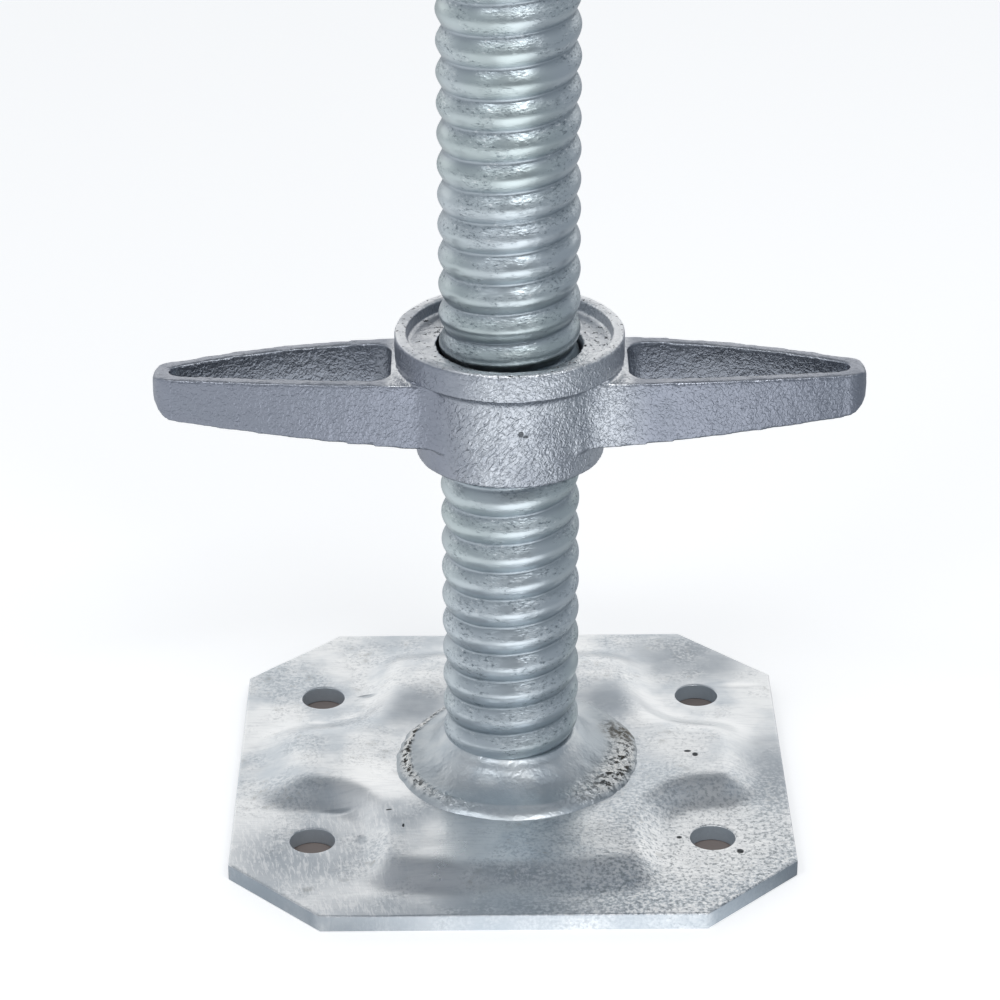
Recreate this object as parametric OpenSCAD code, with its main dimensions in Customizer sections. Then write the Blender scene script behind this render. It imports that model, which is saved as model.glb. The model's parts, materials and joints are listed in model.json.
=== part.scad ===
// Scaffold base jack: a pressed base plate, a rope-threaded spindle tube
// welded upright on it, and a cast wing nut that carries the standard's tube.
// Millimetres, +Z up, origin at the centre of the plate's underside.

/* [Base plate] */
// Side of the square base plate
plate_side = 150; // [145:1:200]
// Thickness of the plate
plate_t = 4.8; // [3:0.2:8]
// Length cut off each corner, along each side
corner_cut = 25; // [5:1:28]
// Spacing of the nail holes along X
hole_spacing_x = 106.6; // [96:0.2:110]
// Spacing of the nail holes along Y
hole_spacing_y = 76.4; // [64:0.2:84]
// Diameter of the nail holes
hole_d = 12; // [8:0.5:16]
// Diameter of the drain hole under the spindle
drain_d = 16; // [8:1:24]

/* [Pressed cross in the plate] */
// Height that the cross is pressed up
press_h = 4.5; // [2:0.5:8]
// Reach of the flat pad along X, on both sides of a nail hole
pad_rx = 14; // [10:0.5:17]
// Reach of the flat pad along Y, on both sides of a nail hole
pad_ry = 15; // [10:0.5:17]
// Width of the sloping flank between a pad and the lobe along Y
flank_pad_x = 6.5; // [5:0.5:12]
// Width of the sloping flank between a pad and the lobe along X
flank_pad_y = 10; // [5:0.5:12]
// Width of the sloping flank at the ends of the lobe along X
flank_end_x = 9.6; // [6:0.2:12]
// Width of the sloping flank at the ends of the lobe along Y
flank_end_y = 12.6; // [6:0.2:14]
// Radius of the lobes' corners, along the top of the flank
lobe_top_r = 2; // [0.5:0.5:3]
// Straight length of the lobes along X, past the nail holes
lobe_end_x = 2.9; // [0.5:0.1:4]
// Straight length of the lobes along Y, past the nail holes
lobe_end_y = 13.4; // [4:0.2:16]

/* [Spindle] */
// Overall height of the jack
jack_h = 600; // [400:10:800]
// Diameter over the thread's crests
crest_d = 36.8; // [34:0.2:40]
// Depth of the thread, crest to root
thread_depth = 1.75; // [0.8:0.05:2]
// Rise of the thread in one turn
pitch = 8.2; // [7:0.1:10]
// Wall of the spindle tube, under the thread's roots
tube_wall = 2.75; // [2:0.25:6]
// Plain length at the top of the spindle
plain_top = 40; // [12:1:120]
// Chamfer on the spindle's top edge
top_chamfer = 1.2; // [0.4:0.2:2]

/* [Weld] */
// Height of the weld up the spindle
weld_h = 8; // [4:0.5:14]
// Width of the weld's dome on the plate
weld_w = 13.5; // [6:0.5:14]
// Height of the dome's blunt outer edge
weld_edge_h = 1.4; // [0.6:0.2:3]
// Width of the thin run round the dome
weld_run_w = 4; // [1:0.5:5]
// Thickness of the thin run
weld_run_t = 0.7; // [0.3:0.1:1.2]

/* [Wing nut] */
// Height of the nut's underside above the ground
nut_z = 101.6; // [40:0.2:300]
// Height of the nut
nut_h = 34.5; // [28:0.5:50]
// Diameter of the cup that carries the standard
cup_d = 60; // [57:0.5:66]
// Height of the cup's outer band
cup_band_h = 7.7; // [5:0.1:10]
// Wall of the cup's rim
rim_w = 3.3; // [2:0.1:5]
// Chamfer on both edges of the rim
rim_chamfer = 0.6; // [0.2:0.1:0.9]
// Depth of the cup
cup_depth = 3.8; // [2:0.1:6]
// Height of the cove from the barrel out to the cup
cove_h = 4.2; // [2:0.2:6]
// Diameter of the barrel below the cove
barrel_top_d = 51.2; // [48:0.2:54]
// Diameter of the barrel at its foot
barrel_foot_d = 49.4; // [46:0.2:51]
// Gap between the thread's crests and the nut's bore
nut_clearance = 0.6; // [0.3:0.1:1]

/* [Wings of the nut] */
// Span over both wing tips
wing_span = 186.6; // [150:0.2:230]
// Width of a wing beside the cup
wing_root_w = 30.8; // [24:0.2:36]
// Diameter of a wing's round tip, seen from above
wing_tip_d = 12.8; // [10:0.2:18]
// Wall of the wings
wing_wall = 3.5; // [2.5:0.1:4.5]
// Length of solid metal at a wing's tip
tip_wall = 4.6; // [3:0.2:8]
// Height of the wings' top edge above the nut's underside, beside the cup
wing_top_h = 25.4; // [23:0.2:28]
// Drop of the top edge from the cup to the tip
wing_top_drop = 2.1; // [0:0.1:4]
// Height of the wings' lower edge above the nut's underside, at the barrel
wing_low_h = 7.2; // [4:0.2:11]
// Rise of the lower edge from the barrel to the tip
wing_low_rise = 4; // [0:0.2:6]
// Radius of the tip's lower corner
tip_corner_r = 6.5; // [3:0.5:7]
// Radius of the fillets between the wings and the barrel
root_fillet_r = 12; // [6:1:16]
// Gap between the cup's outside and the wing openings
opening_gap = 1; // [0.5:0.5:4]
// Radius of the openings' corners beside the cup
opening_corner_r = 5; // [2:0.5:6]

/* [Hidden] */
$fn = 96;
// Excess length that carries a cut clear of a face
cut = 1;
// Segments of a quarter arc in the pressed cross
arc_steps = 6;
// Bands of facets up the cross's flank
flank_bands = 5;
// Facets round the thread, and rows of facets in one pitch
turn_facets = 18;
pitch_rows = 4;
// Points along a wing's curved edges and round its arcs
edge_steps = 8;
// How far the flanks beside a crest lie below it, as a share of the depth
flank_drop = 0.25;
// How far the plain tube lies below the crests, as a share of the depth
plain_drop = 0.35;
// Part of a turn over which the thread grows out of the plain tube
fade_turns = 0.25;
// Gap that the weld's inner face keeps to the spindle
seat_gap = 0.02;
// Rise from the plate's top to the foot of the first thread row
thread_lead = 0.35;
// Share of the weld dome's bulge, from 0 for a straight slope to 1 for a quarter ellipse
weld_bulge = 0.5;
// Share of the wing's taper that comes late, which makes its sides bulge
late_taper = 0.75;
// Share of the lower edge's rise that comes early, which bows it upwards
early_rise = 0.35;

hole_x = hole_spacing_x / 2;
hole_y = hole_spacing_y / 2;
lobe_x = hole_x + lobe_end_x + lobe_top_r + flank_end_x;
lobe_y = hole_y + lobe_end_y + lobe_top_r + flank_end_y;
foot_z = plate_t + press_h;

crest_r = crest_d / 2;
root_r = crest_r - thread_depth;
plain_r = crest_r - plain_drop * thread_depth;
tube_bore_r = root_r - tube_wall;
thread_z = foot_z + thread_lead;
thread_turns = floor((jack_h - plain_top - thread_z) / pitch);
thread_rows = pitch_rows * (thread_turns - 1);

cup_r = cup_d / 2;
nut_bore_r = crest_r + nut_clearance;
cup_floor_h = nut_h - cup_depth;
band_low_h = nut_h - cup_band_h;
barrel_r = barrel_top_d / 2;
wing_reach = wing_span / 2;
tip_r = wing_tip_d / 2;
tip_x = wing_reach - tip_r;
root_half_w = wing_root_w / 2;
wing_taper = root_half_w - tip_r;
// Lean of a wing's side to its axis, where it meets the round tip
tip_lean = atan(wing_taper * (1 + late_taper) / (tip_x - cup_r));

function oval(centre, radii, from, to, steps) =
    [for (i = [0:steps])
        let (a = from + (to - from) * i / steps)
            centre + [radii[0] * cos(a), radii[1] * sin(a)]];

function arc(centre, r, from, to, steps) = oval(centre, [r, r], from, to, steps);

function reversed(points) = [for (i = [len(points) - 1:-1:0]) points[i]];

function mirrored(points, sx, sy) = [for (p = points) [sx * p[0], sy * p[1]]];

// Closed outline from its first quarter, the same on all four sides
function fourfold(quarter) =
    concat(
        quarter,
        reversed(mirrored(quarter, -1, 1)),
        mirrored(quarter, -1, -1),
        reversed(mirrored(quarter, 1, -1))
    );

// Triangles of a four-sided face, and of a face that fans out from one corner
function split(a, b, c, d) = [[a, b, d], [d, b, c]];

function fan(apex, rest) = [for (i = [0:len(rest) - 2]) [apex, rest[i], rest[i + 1]]];

// Soft step from 0 to 1
function ease(t) = t * t * (3 - 2 * t);

function clamped(t) = min(1, max(0, t));

// Outline of the cross at a share of the way in, from its foot to its level top
function cross_outline(share) =
    let (
        left = 1 - share,
        pad = [pad_rx + flank_pad_x * share, pad_ry + flank_pad_y * share],
        round_x = [lobe_top_r + flank_end_x * left, lobe_top_r + flank_pad_y * left],
        round_y = [lobe_top_r + flank_pad_x * left, lobe_top_r + flank_end_y * left],
        corner_x = [lobe_x - flank_end_x * share, hole_y - pad[1]],
        corner_y = [hole_x - pad[0], lobe_y - flank_end_y * share]
    )
        fourfold(concat(
            oval(corner_x - round_x, round_x, 0, 90, arc_steps),
            oval([hole_x, hole_y], pad, 270, 180, arc_steps),
            oval(corner_y - round_y, round_y, 0, 90, arc_steps)
        ));

// Solid of the cross: a wall from low_z up to flank_z round its foot, and soft
// flanks from there that rise by press_h to a level top
module pressed_cross(low_z, flank_z) {
    rings = concat(
        [[low_z, 0]],
        [for (j = [0:flank_bands])
            [flank_z + press_h * ease(j / flank_bands), j / flank_bands]]
    );
    n = len(cross_outline(0));
    points = [for (ring = rings) for (p = cross_outline(ring[1])) [p[0], p[1], ring[0]]];
    sides = [
        for (j = [0:len(rings) - 2]) for (i = [0:n - 1])
            let (a = j * n + i, b = j * n + (i + 1) % n)
                each split(a, a + n, b + n, b)
    ];
    bottom = [for (i = [0:n - 1]) i];
    top = [for (i = [n - 1:-1:0]) (len(rings) - 1) * n + i];
    polyhedron(points = points, faces = concat([bottom, top], sides), convexity = 6);
}

module plate_blank() {
    half = plate_side / 2;
    corner = half - corner_cut;
    linear_extrude(plate_t)
        polygon(fourfold([[half, corner], [corner, half]]));
}

module base_plate() {
    color("#c6cccf")
        difference() {
            union() {
                plate_blank();
                pressed_cross(plate_t / 2, plate_t);
            }
            pressed_cross(-cut, 0);
            for (sx = [-1, 1], sy = [-1, 1])
                translate([sx * hole_x, sy * hole_y, -cut])
                    cylinder(d = hole_d, h = plate_t + 2 * cut);
            translate([0, 0, -cut])
                cylinder(d = drain_d, h = foot_z + 2 * cut);
        }
}

module weld_bead() {
    inner_r = plain_r + seat_gap;
    outer_r = plain_r + weld_w;
    run_r = outer_r + weld_run_w;
    rise = weld_h - weld_edge_h;
    // From the spindle out to the blunt edge, between a straight slope and a quarter ellipse
    dome = [for (i = [0:edge_steps])
        let (
            t = i / edge_steps,
            out = t + weld_bulge * (sin(90 * t) - t),
            up = 1 - t + weld_bulge * (cos(90 * t) - 1 + t)
        )
            [inner_r + (outer_r - inner_r) * out, weld_edge_h + rise * up]];
    color("#a8afb3")
        translate([0, 0, foot_z])
            rotate_extrude()
                polygon(concat(
                    [[inner_r, 0]],
                    dome,
                    [[outer_r, weld_run_t], [run_r, weld_run_t], [run_r, 0]]
                ));
}

// Radius of the rod at a point of the thread: row counts the rows of facets
// up from the thread's foot, and turns is how far it has wound by there
function thread_r(row, turns) =
    let (
        fade = clamped((turns - 1) / fade_turns)
            * clamped((thread_rows / pitch_rows - turns) / fade_turns),
        from_crest = abs(row % pitch_rows - pitch_rows / 2),
        drop = from_crest == 0 ? 0 : from_crest == 1 ? flank_drop : 1
    )
        plain_r + fade * (crest_r - drop * thread_depth - plain_r);

function thread_point(row, i) =
    let (
        turns = row / pitch_rows + i / turn_facets,
        a = 360 * i / turn_facets,
        r = thread_r(row, turns)
    )
        [r * cos(a), r * sin(a), thread_z + pitch * turns];

function rod_ring(r, z) =
    [for (i = [0:turn_facets - 1]) let (a = 360 * i / turn_facets) [r * cos(a), r * sin(a), z]];

// Solid rod with one right-hand start of rope thread. Its facets follow the
// thread: each turn of a row ends where the row one pitch above it starts.
module threaded_rod() {
    n = turn_facets;
    m = pitch_rows;
    rows = thread_rows;
    winding = concat(
        [for (row = [0:rows]) for (i = [0:n - 1]) thread_point(row, i)],
        [for (row = [rows + 1:rows + m]) thread_point(row, 0)]
    );
    low = len(winding);
    high = low + n;
    rim = high + n;
    points = concat(
        winding,
        rod_ring(plain_r, foot_z),
        rod_ring(plain_r, jack_h - top_chamfer),
        rod_ring(plain_r - top_chamfer, jack_h)
    );
    // Place in the list of the point that lies i facets along a row
    function at(row, i) =
        i == n ? at(row + m, 0) : row <= rows ? row * n + i : (rows + 1) * n + row - rows - 1;
    flanks = [for (row = [0:rows - 1]) for (i = [0:n - 1])
        each split(at(row, i), at(row + 1, i), at(row + 1, i + 1), at(row, i + 1))];
    // The first and last facets of the plain ends also close the thread's seam
    foot = [for (i = [0:n - 2]) each split(low + i, at(0, i), at(0, i + 1), low + i + 1)];
    foot_seam = concat([at(0, n - 1)], [for (row = [m:-1:0]) at(row, 0)], [low]);
    head = [for (i = [1:n - 1]) each split(at(rows, i), high + i, high + (i + 1) % n, at(rows, i + 1))];
    head_seam = concat([for (row = [rows:rows + m]) at(row, 0)], [high, high + 1]);
    chamfer = [for (i = [0:n - 1])
        each split(high + i, rim + i, rim + (i + 1) % n, high + (i + 1) % n)];
    bottom = [for (i = [0:n - 1]) low + i];
    top = [for (i = [n - 1:-1:0]) rim + i];
    polyhedron(
        points = points,
        faces = concat(
            flanks,
            foot,
            fan(low + n - 1, foot_seam),
            head,
            fan(at(rows, 1), head_seam),
            chamfer,
            [bottom, top]
        ),
        convexity = 10
    );
}

module spindle() {
    color("#b3bec5")
        difference() {
            threaded_rod();
            translate([0, 0, foot_z - cut])
                cylinder(r = tube_bore_r, h = jack_h);
        }
}

// Half of a wing's width, at x from the axis
function wing_half_w(x) =
    let (t = (x - cup_r) / (tip_x - cup_r))
        root_half_w - wing_taper * t * (1 - late_taper + late_taper * t);

// Heights of the wing's top and lower edges above the nut's underside
function wing_top(x) =
    let (t = (x - cup_r) / (tip_x - cup_r))
        wing_top_h - wing_top_drop * t * t;

function wing_low(x) =
    let (t = (x - barrel_r) / (tip_x - barrel_r))
        wing_low_h + wing_low_rise * t * (1 + early_rise - early_rise * t);

function along(from, to) = [for (i = [0:edge_steps]) from + (to - from) * i / edge_steps];

// Outline of one wing from above, with fillets that run into the barrel
module wing_plan() {
    // Centre of the fillet, which touches the barrel and the wing's side
    reach = barrel_r + root_fillet_r;
    lift = root_half_w + root_fillet_r;
    fillet_x = sqrt(reach * reach - lift * lift);
    barrel_turn = 180 + atan2(lift, fillet_x);
    slope_x = max(fillet_x, cup_r);
    side = [for (x = along(slope_x, tip_x)) [x, wing_half_w(x)]];
    fillet = arc([fillet_x, lift], root_fillet_r, barrel_turn, 270, edge_steps);
    upper = concat([[0, fillet[0][1]]], fillet, side);
    tip = arc([tip_x, 0], tip_r, 90 - tip_lean, tip_lean - 90, edge_steps);
    polygon(concat(upper, tip, reversed(mirrored(upper, 1, -1))));
}

// Outline of one wing from the side
module wing_side() {
    corner_x = wing_reach - tip_corner_r;
    corner_h = wing_low(tip_x) + tip_corner_r;
    top = [for (x = along(cup_r, tip_x)) [x, wing_top(x)]];
    low = [for (x = along(corner_x, barrel_r)) [x, wing_low(x)]];
    polygon(concat(
        [[0, wing_top_h]],
        top,
        arc([wing_reach - tip_wall / 2, wing_top(tip_x) - tip_wall / 2], tip_wall / 2, 90, 0, edge_steps),
        arc([corner_x, corner_h], tip_corner_r, 0, -90, edge_steps),
        low,
        [[0, wing_low_h]]
    ));
}

// Outline of the opening through one wing
module wing_opening() {
    start_x = cup_r + opening_gap;
    corner_x = start_x + opening_corner_r;
    end_r = tip_r - wing_wall;
    end_x = wing_reach - tip_wall - end_r;
    side = [for (x = along(corner_x, end_x)) [x, wing_half_w(x) - wing_wall]];
    corner = arc([corner_x, side[0][1] - opening_corner_r], opening_corner_r, 180, 90, edge_steps);
    upper = concat(corner, [for (i = [1:edge_steps]) side[i]]);
    end = arc([end_x, 0], end_r, 90 - tip_lean, tip_lean - 90, edge_steps);
    polygon(concat(upper, end, reversed(mirrored(upper, 1, -1))));
}

module wing() {
    difference() {
        intersection() {
            linear_extrude(nut_h)
                wing_plan();
            rotate([90, 0, 0])
                linear_extrude(wing_root_w * 2, center = true)
                    wing_side();
        }
        translate([0, 0, -cut])
            linear_extrude(nut_h + 2 * cut)
                wing_opening();
    }
}

// Barrel, cove and cup, before the bore and the cup are cut out of it
module nut_body() {
    cove = [for (i = [0:edge_steps])
        let (a = 90 * i / edge_steps)
            [cup_r - (cup_r - barrel_r) * cos(a), band_low_h - cove_h * (1 - sin(a))]];
    rotate_extrude()
        polygon(concat(
            [[0, 0], [barrel_foot_d / 2, 0]],
            cove,
            [[cup_r, nut_h - rim_chamfer], [cup_r - rim_chamfer, nut_h], [0, nut_h]]
        ));
}

// Space inside the cup, which flares at the rim's chamfer
module cup_hollow() {
    inner_r = cup_r - rim_w;
    rotate_extrude()
        polygon([
            [0, cup_floor_h],
            [inner_r, cup_floor_h],
            [inner_r, nut_h - rim_chamfer],
            [inner_r + rim_chamfer + cut, nut_h + cut],
            [0, nut_h + cut]
        ]);
}

module wing_nut() {
    color("#8d939c")
        translate([0, 0, nut_z])
            difference() {
                union() {
                    nut_body();
                    wing();
                    mirror([1, 0, 0])
                        wing();
                }
                translate([0, 0, -cut])
                    cylinder(r = nut_bore_r, h = nut_h + 2 * cut);
                cup_hollow();
            }
}

base_plate();
weld_bead();
spindle();
wing_nut();
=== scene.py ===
"""Looks of a scaffold base jack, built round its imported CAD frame.

The jack has four pieces: a pressed base plate, a rope-threaded spindle tube,
the weld that joins the two, and a cast wing nut that carries the standard.
Each sub-assembly is a class that holds its sizes, makes its mesh with bmesh
operators and dresses it in a finish.  Lengths are in metres, +Z is up, and the
origin is the centre of the plate's underside.
"""

import json
import logging
import math
from dataclasses import dataclass
from enum import Enum

import bmesh
import bpy
from mathutils import Matrix, Vector, noise


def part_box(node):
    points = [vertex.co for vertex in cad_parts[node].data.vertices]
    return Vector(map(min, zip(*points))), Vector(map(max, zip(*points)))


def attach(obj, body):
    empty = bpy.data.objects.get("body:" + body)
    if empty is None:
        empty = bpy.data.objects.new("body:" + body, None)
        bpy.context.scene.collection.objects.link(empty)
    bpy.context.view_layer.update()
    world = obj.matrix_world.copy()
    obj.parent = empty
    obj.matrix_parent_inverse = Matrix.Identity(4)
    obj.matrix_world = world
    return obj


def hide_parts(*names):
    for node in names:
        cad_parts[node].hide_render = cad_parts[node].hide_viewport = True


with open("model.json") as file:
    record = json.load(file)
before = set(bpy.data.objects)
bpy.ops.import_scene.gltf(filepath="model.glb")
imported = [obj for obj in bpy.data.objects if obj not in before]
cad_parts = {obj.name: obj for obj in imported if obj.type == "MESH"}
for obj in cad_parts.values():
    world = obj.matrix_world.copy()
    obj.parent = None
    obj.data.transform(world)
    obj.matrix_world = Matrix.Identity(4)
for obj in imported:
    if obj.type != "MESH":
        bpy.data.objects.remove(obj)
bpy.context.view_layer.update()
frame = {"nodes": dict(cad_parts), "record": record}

LOG = logging.getLogger("base_jack")
MM = 0.001
FULL_TURN = 2 * math.pi

Socket = bpy.types.NodeSocket
Value = bpy.types.NodeSocket | float
Vec3 = tuple[float, float, float]
# Centre and half sizes of a spot
Spot = tuple[Vec3, Vec3]


class Body(Enum):
    """The two bodies of the frame that pieces ride on."""

    BASE = "base"
    NUT = "nut"


def srgb(code: str) -> tuple[float, float, float, float]:
    """Turns an sRGB colour to linear light.

    Args:
        code: the colour as six hex digits after a hash.

    Returns:
        Red, green, blue and alpha.
    """
    channels = [int(code[i : i + 2], 16) / 255 for i in (1, 3, 5)]
    linear = [c / 12.92 if c <= 0.04045 else ((c + 0.055) / 1.055) ** 2.4 for c in channels]
    return (*linear, 1.0)


def clamped(value: float) -> float:
    """Holds a value between 0 and 1."""
    return min(1.0, max(0.0, value))


def ease(start: float, end: float, value: float) -> float:
    """Soft step.

    Args:
        start: where the step leaves 0.
        end: where the step reaches 1; it may lie below start.
        value: the place on the step.

    Returns:
        A share from 0 to 1.
    """
    t = clamped((value - start) / (end - start))
    return t * t * (3 - 2 * t)


def bell(distance: float, reach: float) -> float:
    """Soft bump.

    Args:
        distance: distance from the bump's middle.
        reach: distance at which the bump has died away.

    Returns:
        1 at the middle and 0 at the reach and beyond.
    """
    return ease(reach, 0.0, abs(distance))


def ripple(place: Vector, size: float, seed: float = 0.0) -> float:
    """Smooth random value at a place.

    Args:
        place: the point, in metres.
        size: size of the ripple's lumps, in metres.
        seed: moves the pattern, so that two ripples differ.

    Returns:
        A value from about -1 to 1.
    """
    return noise.noise(place / size + Vector((seed, seed * 0.7, -seed)))


def spot(centre: Vec3, sizes: Vec3) -> Spot:
    """Spot whose centre and half sizes along X, Y and Z are given in millimetres."""
    return tuple(c * MM for c in centre), tuple(size * MM for size in sizes)


@dataclass(frozen=True)
class Nodes:
    """Adds shader nodes to one tree."""

    tree: bpy.types.NodeTree

    def add(self, kind: str, sources: dict | None = None, **settings: object) -> bpy.types.Node:
        """Adds a node with its settings and links.

        Args:
            kind: the node's type, without the ShaderNode before it.
            sources: for each input's name or number, a socket to link or a value.
            settings: the node's own properties.

        Returns:
            The new node.
        """
        node = self.tree.nodes.new("ShaderNode" + kind)
        for name, value in settings.items():
            setattr(node, name, value)
        for name, value in (sources or {}).items():
            if isinstance(value, bpy.types.NodeSocket):
                self.tree.links.new(value, node.inputs[name])
            else:
                node.inputs[name].default_value = value
        return node

    def place(self) -> Socket:
        """Object coordinates, in metres."""
        return self.add("TexCoord").outputs["Object"]

    def axes(self, vector: Socket) -> bpy.types.bpy_prop_collection:
        """X, Y and Z of a vector."""
        return self.add("SeparateXYZ", {"Vector": vector}).outputs

    def reach(self, place: Socket) -> Socket:
        """Distance from the jack's upright axis."""
        flat = self.stretched(place, (1.0, 1.0, 0.0))
        return self.add("VectorMath", {0: flat}, operation="LENGTH").outputs["Value"]

    def looks_up(self, low: float, high: float) -> Socket:
        """1 where a face looks up by high or more, and 0 by low; high may lie below low."""
        normal = self.add("NewGeometry").outputs["Normal"]
        return self.ramp(self.axes(normal)["Z"], low, high)

    def noise(
        self, place: Socket, size: float, detail: float = 2.0, rough: float = 0.5, warp: float = 0.0
    ) -> Socket:
        """Cloudy pattern.

        Args:
            place: coordinates of the pattern.
            size: size of its lumps, in metres.
            detail: number of finer layers.
            rough: strength of the finer layers.
            warp: how far the pattern is twisted.

        Returns:
            A socket from 0 to 1, about 0.5 on average.
        """
        return self.add(
            "TexNoise",
            {
                "Vector": place,
                "Scale": 1 / size,
                "Detail": detail,
                "Roughness": rough,
                "Distortion": warp,
            },
        ).outputs["Fac"]

    def stretched(
        self, place: Socket, scale: Vec3, turn: Vec3 = (0.0, 0.0, 0.0)
    ) -> Socket:
        """Coordinates scaled along each axis, after a turn in degrees about each."""
        turned = tuple(math.radians(angle) for angle in turn)
        spun = self.add("Mapping", {"Vector": place, "Rotation": turned}).outputs["Vector"]
        return self.add("VectorMath", {0: spun, 1: scale}, operation="MULTIPLY").outputs["Vector"]

    def ramp(
        self, value: Socket, low: float, high: float, top: float = 1.0, bottom: float = 0.0
    ) -> Socket:
        """Soft step from bottom at low to top at high."""
        return self.add(
            "MapRange",
            {"Value": value, "From Min": low, "From Max": high, "To Min": bottom, "To Max": top},
            interpolation_type="SMOOTHSTEP",
        ).outputs["Result"]

    def math(self, operation: str, one: Value, two: Value = 0.0) -> Socket:
        """One sum of two values."""
        return self.add("Math", {0: one, 1: two}, operation=operation).outputs[0]

    def both(self, *shares: Value) -> Socket:
        """Product of shares."""
        product = shares[0]
        for share in shares[1:]:
            product = self.math("MULTIPLY", product, share)
        return product

    def tint(self, share: Value, under: Value | str, over: Value | str) -> Socket:
        """Lays one colour over another by a share."""
        colours = [srgb(c) if isinstance(c, str) else c for c in (under, over)]
        return self.add(
            "Mix", {0: share, 6: colours[0], 7: colours[1]}, data_type="RGBA"
        ).outputs[2]

    def spots(self, place: Socket, spots: tuple[Spot, ...], core: float = 0.6) -> Socket:
        """Mask of round or oval spots.

        Args:
            place: the object coordinates.
            spots: each spot's centre and its half sizes along X, Y and Z.
            core: share of a spot's size within which the mask is full.

        Returns:
            A socket that is 1 in a spot and 0 elsewhere.
        """
        level: Value = 0.0
        for centre, sizes in spots:
            away = self.add("VectorMath", {0: place, 1: centre}, operation="SUBTRACT").outputs[0]
            shares = self.add("VectorMath", {0: away, 1: sizes}, operation="DIVIDE").outputs[0]
            length = self.add("VectorMath", {0: shares}, operation="LENGTH").outputs["Value"]
            level = self.math("MAXIMUM", self.ramp(length, 1.0, core), level)
        return level

    def relief(
        self, height: Socket, depth: float, strength: float, under: Socket | None = None
    ) -> Socket:
        """Normal that follows a height, whose full range is depth metres."""
        sources = {"Strength": strength, "Distance": depth, "Height": height}
        if under is not None:
            sources["Normal"] = under
        return self.add("Bump", sources).outputs["Normal"]

    def metal(self, colour: Socket, rough: Value, normal: Socket, bare: Value = 1.0) -> None:
        """Ends the tree with metal that is bare where the last share is 1."""
        sources = {"Base Color": colour, "Metallic": bare, "Roughness": rough, "Normal": normal}
        shader = self.add("BsdfPrincipled", sources).outputs["BSDF"]
        self.add("OutputMaterial", {"Surface": shader})


def blank_material(name: str) -> tuple[bpy.types.Material, Nodes]:
    """Makes a material with an empty node tree.

    Args:
        name: the material's name.

    Returns:
        The material and its nodes.
    """
    material = bpy.data.materials.new(name)
    material.use_nodes = True
    material.node_tree.nodes.clear()
    return material, Nodes(material.node_tree)


def make_piece(
    name: str,
    mesh_in: bmesh.types.BMesh,
    material: bpy.types.Material,
    body: Body,
) -> bpy.types.Object:
    """Turns a finished bmesh into a piece that stands for the CAD node of its name.

    Args:
        name: the piece's name, which is the node's with _skin after it.
        mesh_in: the finished mesh; it is freed.
        material: the finish.
        body: the body that the piece rides on.

    Returns:
        The piece.
    """
    mesh = bpy.data.meshes.new(name)
    mesh_in.to_mesh(mesh)
    mesh_in.free()
    mesh.materials.append(material)
    mesh.shade_smooth()
    piece = bpy.data.objects.new(name, mesh)
    bpy.context.scene.collection.objects.link(piece)
    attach(piece, body.value)
    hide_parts(name.removesuffix("_skin"))
    LOG.info("%s: %d faces, rides on %s", name, len(mesh.polygons), body.value)
    return piece


def sharp_edges(mesh: bmesh.types.BMesh, angle: float) -> list[bmesh.types.BMEdge]:
    """Lists the edges whose faces meet at more than an angle.

    Args:
        mesh: the mesh to search.
        angle: the least angle between the faces, in radians.

    Returns:
        The edges.
    """
    return [e for e in mesh.edges if len(e.link_faces) == 2 and e.calc_face_angle() > angle]


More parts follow.
